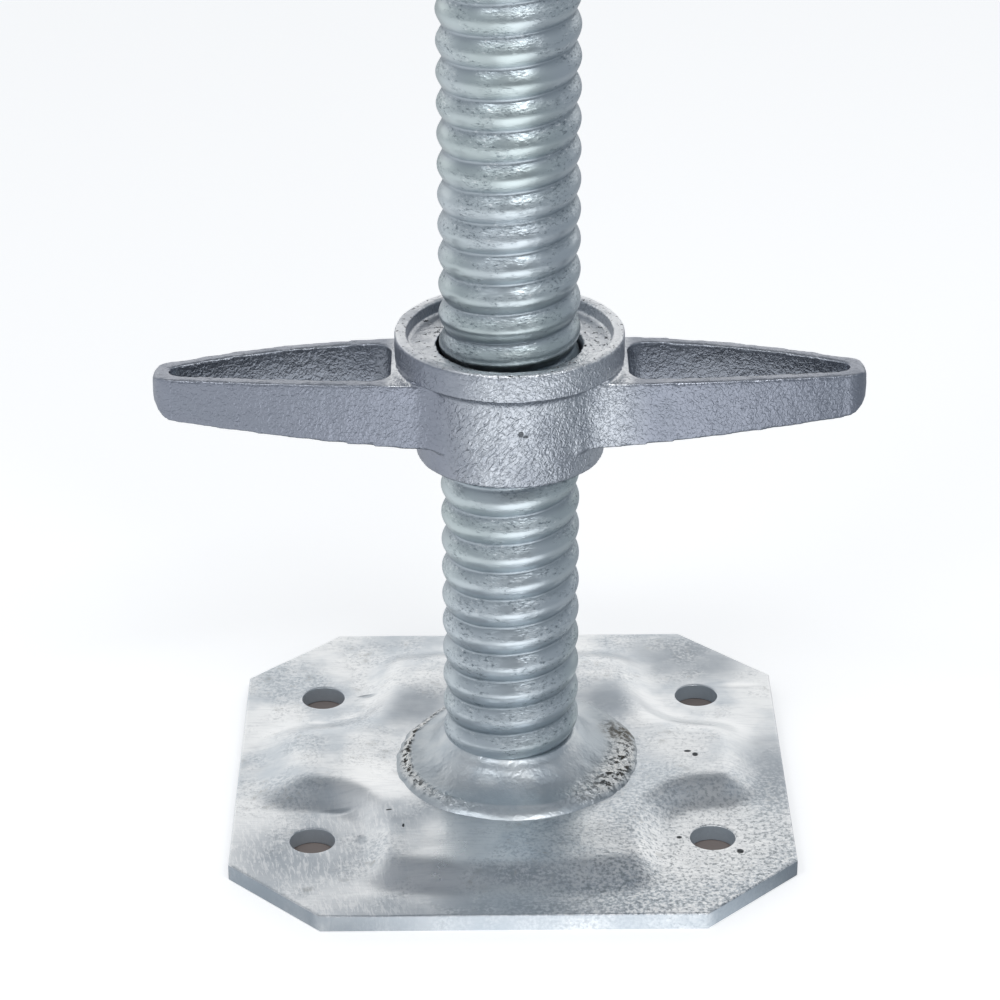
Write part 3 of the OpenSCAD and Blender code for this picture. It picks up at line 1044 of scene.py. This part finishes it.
@dataclass
class ThreadedSpindle:
    """Hollow spindle with a rolled rope thread, plain at its top."""

    foot: float
    top: float
    crest_r: float
    depth: float = 1.75 * MM
    pitch: float = 8.2 * MM
    wall: float = 2.75 * MM
    # Height of the groove's bottom where the thread crosses the +X side
    groove_z: float = 9.65 * MM
    thread_end: float = 553.0 * MM
    run_out: float = 7.0 * MM
    plain_drop: float = 0.61 * MM
    # Share of the groove's roundness, from 0 for a sharp groove to 1 for a wave
    valley: float = 0.35
    chamfer: float = 1.2 * MM
    steps: int = 72
    bands: int = 7
    finish: GalvanisedThread = GalvanisedThread()

    @property
    def root_r(self) -> float:
        """Radius in the thread's grooves."""
        return self.crest_r - self.depth

    def build(self) -> bpy.types.Object:
        """Makes and dresses the spindle.

        Returns:
            The piece.
        """
        mesh = self._thread()
        low = self._trim(mesh, self.foot, -1)
        high = self._trim(mesh, self.thread_end, 1)
        self._fade(mesh)
        inner = self._tube_end(mesh, high)
        bmesh.ops.bridge_loops(mesh, edges=low + inner)
        bmesh.ops.recalc_face_normals(mesh, faces=mesh.faces[:])
        material = self.finish.material(self.crest_r, self.root_r)
        return make_piece("spindle_skin", mesh, material, Body.BASE)

    def _drop(self, place: float) -> float:
        """Finds how far the thread lies below its crest.

        Args:
            place: from -1 in one groove, through 0 at the crest, to 1 in the next.

        Returns:
            The drop.
        """
        wave = (1 - math.cos(math.pi * place)) / 2
        return self.depth * (self.valley * wave + (1 - self.valley) * place * place)

    def _thread(self) -> bmesh.types.BMesh:
        """Winds one pitch of the profile up the spindle."""
        mesh = bmesh.new()
        places = [i / self.bands - 1 for i in range(2 * self.bands + 1)]
        start = self.groove_z - 2 * self.pitch
        verts = [
            mesh.verts.new(
                (self.crest_r - self._drop(p), 0, start + self.pitch * (p + 1) / 2)
            )
            for p in places
        ]
        edges = [mesh.edges.new(pair) for pair in zip(verts, verts[1:])]
        bmesh.ops.spin(
            mesh,
            geom=verts + edges,
            axis=(0, 0, 1),
            dvec=(0, 0, self.pitch / self.steps),
            angle=FULL_TURN,
            steps=self.steps,
        )
        turn = mesh.verts[:] + mesh.edges[:] + mesh.faces[:]
        for i in range(1, math.ceil((self.thread_end - start) / self.pitch) + 1):
            copy = bmesh.ops.duplicate(mesh, geom=turn)["geom"]
            bmesh.ops.translate(
                mesh,
                verts=[v for v in copy if isinstance(v, bmesh.types.BMVert)],
                vec=(0, 0, i * self.pitch),
            )
        bmesh.ops.remove_doubles(mesh, verts=mesh.verts[:], dist=0.01 * MM)
        return mesh

    def _trim(self, mesh: bmesh.types.BMesh, level: float, side: int) -> list[bmesh.types.BMEdge]:
        """Cuts the thread off level.

        Args:
            mesh: the thread.
            level: height of the cut.
            side: 1 to clear what lies above the cut, and -1 what lies below.

        Returns:
            The edges round the cut.
        """
        cut = bmesh.ops.bisect_plane(
            mesh,
            geom=mesh.verts[:] + mesh.edges[:] + mesh.faces[:],
            dist=0.001 * MM,
            plane_co=(0, 0, level),
            plane_no=(0, 0, side),
            clear_outer=True,
        )
        return [e for e in cut["geom_cut"] if isinstance(e, bmesh.types.BMEdge)]

    def _fade(self, mesh: bmesh.types.BMesh) -> None:
        """Lets the thread run out into the plain tube and roughens it slightly.

        Args:
            mesh: the trimmed thread.
        """
        plain_r = self.crest_r - self.plain_drop
        for vert in mesh.verts:
            radius = vert.co.xy.length
            kept = ease(self.thread_end, self.thread_end - self.run_out, vert.co.z)
            wear = 0.05 * MM * (ripple(vert.co, 6 * MM) - 0.4) * kept
            grown = plain_r + (radius - plain_r) * kept + wear
            vert.co.xy *= min(grown, self.crest_r) / radius

    def _tube_end(
        self, mesh: bmesh.types.BMesh, rim: list[bmesh.types.BMEdge]
    ) -> list[bmesh.types.BMEdge]:
        """Draws the plain end up, turns in over its chamfers and lines the bore.

        Args:
            mesh: the trimmed thread.
            rim: the edges round its upper cut.

        Returns:
            The edges round the bore's lower end.
        """
        plain_r = self.crest_r - self.plain_drop
        bore_r = self.root_r - self.wall
        small = self.chamfer / 3
        rings = (
            (plain_r, self.thread_end + 2 * MM),
            (plain_r, self.top - self.chamfer - small),
            (plain_r - small * 0.3, self.top - self.chamfer),
            (plain_r - self.chamfer, self.top - small * 0.3),
            (plain_r - self.chamfer - small, self.top),
            (bore_r + small, self.top),
            (bore_r, self.top - small),
            (bore_r, self.foot),
        )
        for radius, level in rings:
            drawn = bmesh.ops.extrude_edge_only(mesh, edges=rim)["geom"]
            rim = [e for e in drawn if isinstance(e, bmesh.types.BMEdge)]
            for vert in (v for v in drawn if isinstance(v, bmesh.types.BMVert)):
                vert.co.xy *= radius / vert.co.xy.length
                vert.co.z = level
        return rim


@dataclass(frozen=True)
class Arc:
    """Stretch round the jack's axis, by its middle and half width in degrees."""

    middle: float
    half: float

    def share(self, turn: float) -> float:
        """1 at the stretch's middle, and 0 from its ends on."""
        return bell((turn - self.middle + 180) % 360 - 180, self.half)


@dataclass
class WeldBead:
    """Fillet weld round the spindle's foot, with a crumbly toe."""

    foot: float
    root_r: float
    # Gap between the weld and the bottom of the thread's groove
    gap: float = 0.1 * MM
    # Radius and height of the dome where it meets the spindle's plain radius
    seat_r: float = 17.8 * MM
    height: float = 8.0 * MM
    width: float = 13.5 * MM
    edge_h: float = 1.4 * MM
    run_w: float = 4.0 * MM
    run_t: float = 0.7 * MM
    # How deep the foot goes into the sheet, which is dished round the weld
    sunk: float = 1.2 * MM
    # Power of the section's hollow curve, and the share of its rounded top
    hollow: float = 2.4
    crown: float = 0.1
    rows: int = 34
    run_rows: int = 12
    steps: int = 480
    # Half widths of the crumbs' band on the left and on the right, and how far out of
    # the toe's middle it lies
    left_w: float = 2.6 * MM
    right_w: float = 3.6 * MM
    crumbs_out: float = 0.9 * MM
    # Radius and half width of the crumbs that spread over the bead on the right
    spread_r: float = 31.0 * MM
    spread_w: float = 6.0 * MM
    # Stretches where the bead is drawn in, and where the crumbs lie
    drawn: Arc = Arc(152, 98)
    narrow: Arc = Arc(160, 75)
    left: Arc = Arc(178, 88)
    right: Arc = Arc(-18, 56)
    # Burnt crater on the right
    crater_x: float = 31.0 * MM
    crater_y: float = 8.5 * MM
    crater_r: float = 8.5 * MM
    finish: WeldSkin = WeldSkin()

    @property
    def toe_r(self) -> float:
        """Radius at which the bead ends and its thin run begins."""
        return self.seat_r + self.width

    def build(self) -> bpy.types.Object:
        """Makes and dresses the weld.

        Returns:
            The piece.
        """
        mesh = self._ring()
        self._crumble(mesh)
        return make_piece(
            "weld_bead_skin", mesh, self.finish.material(), Body.BASE
        )

    def _section(self) -> list[tuple[float, float]]:
        """Radii and heights of the weld's section, from the spindle out to its foot."""
        rise = self.height - self.edge_h
        inner_r = self.root_r + self.gap
        section = [(inner_r, -self.sunk), (inner_r, self.height)]
        for i in range(self.rows + 1):
            out = i / self.rows
            up = (1 - out) ** self.hollow
            up -= self.crown * (1 - ease(0.0, 2 * self.crown, out))
            section.append((self.seat_r + self.width * out, self.edge_h + rise * max(up, 0.0)))
        for i in range(1, self.run_rows + 1):
            share = i / self.run_rows
            drop = self.run_t + (self.edge_h - self.run_t) * (1 - share) ** 4
            level = (drop + self.sunk) * (1 - share**2.5) - self.sunk
            section.append((self.toe_r + self.run_w * share, level))
        return [*section, (self.toe_r + self.run_w, -self.sunk)]

    def _ring(self) -> bmesh.types.BMesh:
        """Turns the weld's section round the spindle."""
        mesh = bmesh.new()
        verts = [mesh.verts.new((r, 0, self.foot + z)) for r, z in self._section()]
        edges = [mesh.edges.new(pair) for pair in zip(verts, verts[1:] + verts[:1])]
        bmesh.ops.spin(
            mesh,
            geom=verts + edges,
            axis=(0, 0, 1),
            angle=FULL_TURN,
            steps=self.steps,
            use_merge=True,
        )
        bmesh.ops.remove_doubles(mesh, verts=mesh.verts[:], dist=0.001 * MM)
        bmesh.ops.recalc_face_normals(mesh, faces=mesh.faces[:])
        return mesh

    def _crumble(self, mesh: bmesh.types.BMesh) -> None:
        """Draws the left side in, roughens the toe and digs the burnt crater.

        Args:
            mesh: the plain ring.
        """
        toe_mask = mesh.verts.layers.float.new("toe")
        burn_mask = mesh.verts.layers.float.new("burn")
        for vert in mesh.verts:
            radius = vert.co.xy.length
            turn = math.degrees(math.atan2(vert.co.y, vert.co.x))
            half = self.left_w if vert.co.x < 0 else self.right_w
            near = bell(radius - self.toe_r - self.crumbs_out, half)
            toe = near * clamped(self.left.share(turn) + self.right.share(turn))
            spread = bell(radius - self.spread_r, self.spread_w) * self.right.share(turn)
            crater = bell(
                math.hypot(vert.co.x - self.crater_x, vert.co.y - self.crater_y), self.crater_r
            )
            lumps = 0.8 * ripple(vert.co, 2.6 * MM) + 0.5 * ripple(vert.co, 1.2 * MM, 5.0)
            rise = 1.1 * MM * max(toe, 0.7 * spread) * lumps
            vert.co.xy *= self._drawn_in(vert.co, turn, near)
            vert.co.z = self._lifted(vert.co, rise, crater)
            vert[toe_mask] = clamped(max(toe, spread * 0.9) * 1.3)
            vert[burn_mask] = clamped(crater * 1.2)

    def _drawn_in(self, place: Vector, turn: float, near: float) -> float:
        """Finds how far the uneven toe has come in or gone out.

        Args:
            place: a point of the plain ring.
            turn: its direction, in degrees.
            near: share of the crumbs' band at the point.

        Returns:
            The factor for the point's distance from the axis.
        """
        radius = place.xy.length
        if radius <= self.seat_r:
            return 1.0
        left, right = self.left.share(turn), self.right.share(turn)
        sway = 0.6 * ripple(place, 11 * MM, 2.0)
        sway += (0.25 + left + right) * 0.5 * ripple(place, 3.2 * MM, 8.0)
        kept = 1 - 0.25 * self.drawn.share(turn) - 0.02 * self.narrow.share(turn)
        grown = self.seat_r + (radius - self.seat_r) * kept
        grown += 0.9 * MM * sway * ease(self.seat_r, self.toe_r, radius) - 0.5 * MM * left * near
        return min(grown, self.toe_r + self.run_w) / radius

    def _lifted(self, place: Vector, rise: float, crater: float) -> float:
        """Finds the height of a point once the bead has pooled, crumbled and burnt.

        Args:
            place: the point.
            rise: height of the crumbs there.
            crater: share of the crater there.

        Returns:
            The height, which the weld's foot and top bound; below the foot nothing moves.
        """
        level = (place.z - self.foot) / self.height
        if level < 0.0001:
            return place.z
        pool = 0.35 * MM * ripple(place, 7 * MM, 3.0) * ease(0.0, 0.4, level) * (1 - level)
        dug = crater * (1.9 + 0.9 * ripple(place, 2.0 * MM, 9.0)) * MM * ease(0.02, 0.4, level)
        lifted = place.z + (rise + pool) * ease(0.0, 0.1, level) - dug
        return min(max(lifted, self.foot + 0.03 * MM), self.foot + self.height)


@dataclass
class WingNut:
    """Cast wing nut: barrel, cup and two open wings."""

    source: bpy.types.Object
    low: Vector
    high: Vector
    voxel: float = 0.54 * MM
    rounds: int = 2
    finish: ZincCasting = ZincCasting()

    def build(self) -> bpy.types.Object:
        """Makes and dresses the nut.

        Returns:
            The piece.
        """
        mesh = self._cast()
        for _ in range(self.rounds):
            bmesh.ops.smooth_vert(
                mesh,
                verts=mesh.verts[:],
                factor=0.5,
                use_axis_x=True,
                use_axis_y=True,
                use_axis_z=True,
            )
        mesh.normal_update()
        self._skin(mesh)
        return make_piece(
            "wing_nut_skin", mesh, self.finish.material(), Body.NUT
        )

    def _cast(self) -> bmesh.types.BMesh:
        """Fills a copy of the nut's solid with an even mesh, whose edges melt together."""
        copy = bpy.data.objects.new("nut_pattern", self.source.data.copy())
        bpy.context.scene.collection.objects.link(copy)
        merged = bmesh.new()
        merged.from_mesh(copy.data)
        bmesh.ops.remove_doubles(merged, verts=merged.verts[:], dist=0.001 * MM)
        merged.to_mesh(copy.data)
        merged.free()
        remesh = copy.modifiers.new("even", "REMESH")
        remesh.mode = "VOXEL"
        remesh.voxel_size = self.voxel
        graph = bpy.context.evaluated_depsgraph_get()
        mesh = bmesh.new()
        mesh.from_object(copy, graph)
        bpy.data.objects.remove(copy)
        return mesh

    def _skin(self, mesh: bmesh.types.BMesh) -> None:
        """Gives the casting the uneven skin of its sand mould.

        Args:
            mesh: the smoothed nut.
        """
        for vert in mesh.verts:
            lumps = 0.1 * ripple(vert.co, 5 * MM) + 0.06 * ripple(vert.co, 2.1 * MM, 4.0)
            moved = vert.co + vert.normal * (lumps - 0.05) * MM
            vert.co = [min(max(moved[i], self.low[i]), self.high[i]) for i in range(3)]


@dataclass(frozen=True)
class Lamp:
    """One soft lamp, placed round the jack."""

    name: str
    turn: float
    rise: float
    distance: float
    size: tuple[float, float]
    power: float

    def build(self, aim: Vector) -> bpy.types.Object:
        """Hangs the lamp.

        Args:
            aim: the point that it looks at.

        Returns:
            The lamp.
        """
        light = bpy.data.lights.new(self.name, "AREA")
        light.shape = "RECTANGLE"
        light.size, light.size_y = self.size
        light.energy = self.power
        lamp = bpy.data.objects.new(self.name, light)
        bpy.context.scene.collection.objects.link(lamp)
        away = direction(self.turn, self.rise)
        lamp.location = aim + away * self.distance
        lamp.rotation_mode = "QUATERNION"
        lamp.rotation_quaternion = away.to_track_quat("Z", "Y")
        return lamp


def direction(turn: float, rise: float) -> Vector:
    """Unit vector from the jack towards a place in the studio.

    Args:
        turn: degrees round to the right of the front.
        rise: degrees above the horizon.

    Returns:
        The direction.
    """
    a, e = math.radians(turn), math.radians(rise)
    return Vector((math.sin(a) * math.cos(e), -math.cos(a) * math.cos(e), math.sin(e)))


@dataclass
class Studio:
    """Pale floor, soft room light, lamps and the camera."""

    floor_half: float = 8.0
    paper: str = "#e6e7e8"
    # Where and how the jack shades the floor under its plate, up to a soft octagon
    shade: str = "#958b87"
    shade_from: float = 66 * MM
    shade_to: float = 73 * MM
    shade_cut: float = 50 * MM
    # Glow of the floor to the camera, and in metal: all round, in front and on the left
    glow_seen: float = 0.5
    glow_low: float = 0.1
    glow_front: float = 1.0
    glow_left: float = 0.3
    # Distances between which the bright front fades
    far_from: float = 0.5
    far_to: float = 0.95
    # Directions of the floor's bright front, pale left and grey right
    front_turn: float = 13.0
    left_turn: float = -85.0
    right_turn: float = 100.0
    side: str = "#c2c6ca"
    room_tint: str = "#e9eff6"
    room: float = 0.36
    room_left: float = 0.58
    sweep: float = 1.05
    # Heights, as sines, at which the white sweep behind ends
    sweep_top: tuple[float, float] = (0.58, 0.7)
    # Grey card on the right
    card: str = "#a3a9b0"
    card_at: Vec3 = (0.36, -0.16, 0.5)
    card_high: float = 1.0
    card_deep: float = 0.75
    lamps: tuple[Lamp, ...] = (
        Lamp("key_lamp", 22, 50, 1.2, (0.5, 0.34), 3.5),
        Lamp("fill_lamp", -42, 52, 1.3, (0.3, 0.35), 2.0),
    )
    lamp_aim: Vec3 = (0.0, 0.0, 0.12)
    lens: float = 124.1
    sensor: float = 36.0
    aim: Vec3 = (-2.7 * MM, 0.0, 86.5 * MM)
    distance: float = 0.9159
    turn: float = -0.29
    rise: float = 26.44
    roll: float = -0.284

    def build(self) -> None:
        """Sets up everything round the jack."""
        bpy.context.scene.view_settings.view_transform = "Standard"
        self._floor()
        self._world()
        self._card()
        for lamp in self.lamps:
            lamp.build(Vector(self.lamp_aim))
        self._camera()

    def _floor(self) -> None:
        """Lays the floor, which takes the jack's shadow."""
        material, nodes = blank_material("matt_paper_floor")
        path = nodes.add("LightPath").outputs
        seen = nodes.math("MAXIMUM", path["Is Camera Ray"], path["Is Transmission Ray"])
        mirrored = nodes.both(self._mirrored(nodes), path["Is Glossy Ray"])
        beyond = self._beyond(nodes)
        strength = nodes.math("ADD", nodes.both(seen, self.glow_seen), mirrored)
        strength = nodes.both(strength, beyond)
        colour = nodes.tint(beyond, self.shade, self.paper)
        right = nodes.ramp(self._facing(nodes, self.right_turn), 0.1, 0.75)
        colour = nodes.tint(nodes.both(right, path["Is Glossy Ray"]), colour, self.side)
        paper = nodes.add("BsdfDiffuse", {"Color": colour}).outputs["BSDF"]
        glow = nodes.add("Emission", {"Color": srgb("#ffffff"), "Strength": strength}).outputs[0]
        lit = nodes.add("AddShader", {0: paper, 1: glow}).outputs[0]
        nodes.add("OutputMaterial", {"Surface": lit})
        mesh = bmesh.new()
        bmesh.ops.create_grid(mesh, x_segments=1, y_segments=1, size=self.floor_half)
        self._stand("studio_floor", mesh, material)

    def _mirrored(self, nodes: Nodes) -> Socket:
        """Glow of the floor in metal: brightest in front, fading far off, and pale on the left."""
        front = nodes.ramp(self._facing(nodes, self.front_turn), 0.68, 0.99, self.glow_front)
        near = nodes.ramp(nodes.reach(nodes.place()), self.far_to, self.far_from)
        left = nodes.ramp(self._facing(nodes, self.left_turn), 0.3, 0.9, self.glow_left)
        return nodes.math("ADD", nodes.math("ADD", nodes.both(front, near), left), self.glow_low)

    def _beyond(self, nodes: Nodes) -> Socket:
        """0 under the jack's plate, whose octagon shades the floor, and 1 away from it."""
        axes = nodes.axes(nodes.place())
        x, y = (nodes.math("ABSOLUTE", axes[name]) for name in ("X", "Y"))
        cut = nodes.math("SUBTRACT", nodes.math("ADD", x, y), self.shade_cut)
        out = nodes.math("MAXIMUM", nodes.math("MAXIMUM", x, y), cut)
        return nodes.ramp(out, self.shade_from, self.shade_to)

    @staticmethod
    def _facing(nodes: Nodes, turn: float) -> Socket:
        """How much a place on the floor lies towards a turn, from -1 to 1."""
        way = nodes.add(
            "VectorMath", {0: nodes.place()}, operation="NORMALIZE"
        ).outputs["Vector"]
        return nodes.add(
            "VectorMath", {0: way, 1: direction(turn, 0)}, operation="DOT_PRODUCT"
        ).outputs["Value"]

    def _stand(
        self, name: str, mesh: bmesh.types.BMesh, material: bpy.types.Material
    ) -> bpy.types.Object:
        """Adds a thing that belongs to the studio.

        Args:
            name: its name.
            mesh: its mesh; it is freed.
            material: its material.

        Returns:
            The object.
        """
        data = bpy.data.meshes.new(name)
        mesh.to_mesh(data)
        mesh.free()
        data.materials.append(material)
        thing = bpy.data.objects.new(name, data)
        bpy.context.scene.collection.objects.link(thing)
        return thing

    def _world(self) -> None:
        """Lights the room: a white sweep low behind the jack, and a dimmer room round it."""
        world = bpy.data.worlds.new("studio_room")
        world.use_nodes = True
        world.node_tree.nodes.clear()
        nodes = Nodes(world.node_tree)
        axes = nodes.axes(nodes.add("TexCoord").outputs["Generated"])
        behind = nodes.ramp(axes["Y"], 0.1, 0.6)
        low = nodes.ramp(axes["Z"], self.sweep_top[1], self.sweep_top[0])
        sweep = nodes.both(behind, low)
        left = nodes.ramp(axes["X"], 0.2, -0.7, self.room_left, self.room)
        dimmed = nodes.both(left, nodes.ramp(axes["Z"], 0.6, 0.95, 0.85, 1.0))
        level = nodes.add("Mix", {0: sweep, 2: dimmed, 3: self.sweep}, data_type="FLOAT").outputs[0]
        path = nodes.add("LightPath").outputs
        shown = nodes.math("MAXIMUM", path["Is Camera Ray"], path["Is Transmission Ray"])
        strength = nodes.add("Mix", {0: shown, 2: level, 3: 1.0}, data_type="FLOAT").outputs[0]
        white = nodes.math("MAXIMUM", shown, sweep)
        colour = nodes.tint(white, self.room_tint, "#ffffff")
        light = nodes.add("Background", {"Color": colour, "Strength": strength}).outputs[0]
        nodes.add("OutputWorld", {"Surface": light})
        bpy.context.scene.world = world

    def _card(self) -> None:
        """Stands a grey card to the right, which only reflections show."""
        mesh = bmesh.new()
        bmesh.ops.create_grid(mesh, x_segments=1, y_segments=1, size=0.5)
        bmesh.ops.scale(mesh, verts=mesh.verts[:], vec=(self.card_high, self.card_deep, 1.0))
        upright = Matrix.Rotation(math.radians(90), 3, "Y")
        bmesh.ops.rotate(mesh, verts=mesh.verts[:], matrix=upright)
        bmesh.ops.translate(mesh, verts=mesh.verts[:], vec=self.card_at)
        material, nodes = blank_material("grey_card")
        glow = nodes.add("Emission", {"Color": srgb(self.card), "Strength": 1.0}).outputs[0]
        nodes.add("OutputMaterial", {"Surface": glow})
        card = self._stand("grey_card", mesh, material)
        card.visible_camera = False
        card.visible_diffuse = False
        card.visible_shadow = False
        card.visible_transmission = False

    def _camera(self) -> None:
        """Places the camera."""
        data = bpy.data.cameras.new("camera")
        data.lens = self.lens
        data.sensor_width = self.sensor
        data.clip_start = 0.05
        camera = bpy.data.objects.new("camera", data)
        bpy.context.scene.collection.objects.link(camera)
        back = direction(self.turn, self.rise)
        right = Vector((0, 0, 1)).cross(back).normalized()
        up = back.cross(right)
        tilt = math.radians(self.roll)
        side = right * math.cos(tilt) + up * math.sin(tilt)
        top = up * math.cos(tilt) - right * math.sin(tilt)
        turned = Matrix((side, top, back)).transposed().to_4x4()
        camera.matrix_world = Matrix.Translation(Vector(self.aim) + back * self.distance) @ turned
        bpy.context.scene.camera = camera


def main() -> None:
    logging.basicConfig(level=logging.INFO, format="%(name)s: %(message)s")
    mounts = {mount["name"]: mount for mount in frame["record"]["mounts"]}
    holes = mounts["nail_holes"]["dims"]
    plate_low, plate_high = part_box("base_plate")
    spindle_low, spindle_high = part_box("spindle")
    PressedPlate(
        half=plate_high.x,
        top=plate_high.z,
        hole_x=holes["spacing_x_mm"] / 2 * MM,
        hole_y=holes["spacing_y_mm"] / 2 * MM,
        hole_r=holes["hole_r_mm"] * MM,
    ).build()
    spindle = ThreadedSpindle(foot=spindle_low.z, top=spindle_high.z, crest_r=spindle_high.x)
    spindle.build()
    WeldBead(foot=plate_high.z, root_r=spindle.root_r).build()
    nut_low, nut_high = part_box("wing_nut")
    WingNut(source=frame["nodes"]["wing_nut"], low=nut_low, high=nut_high).build()
    Studio().build()


if __name__ == "__main__":
    main()
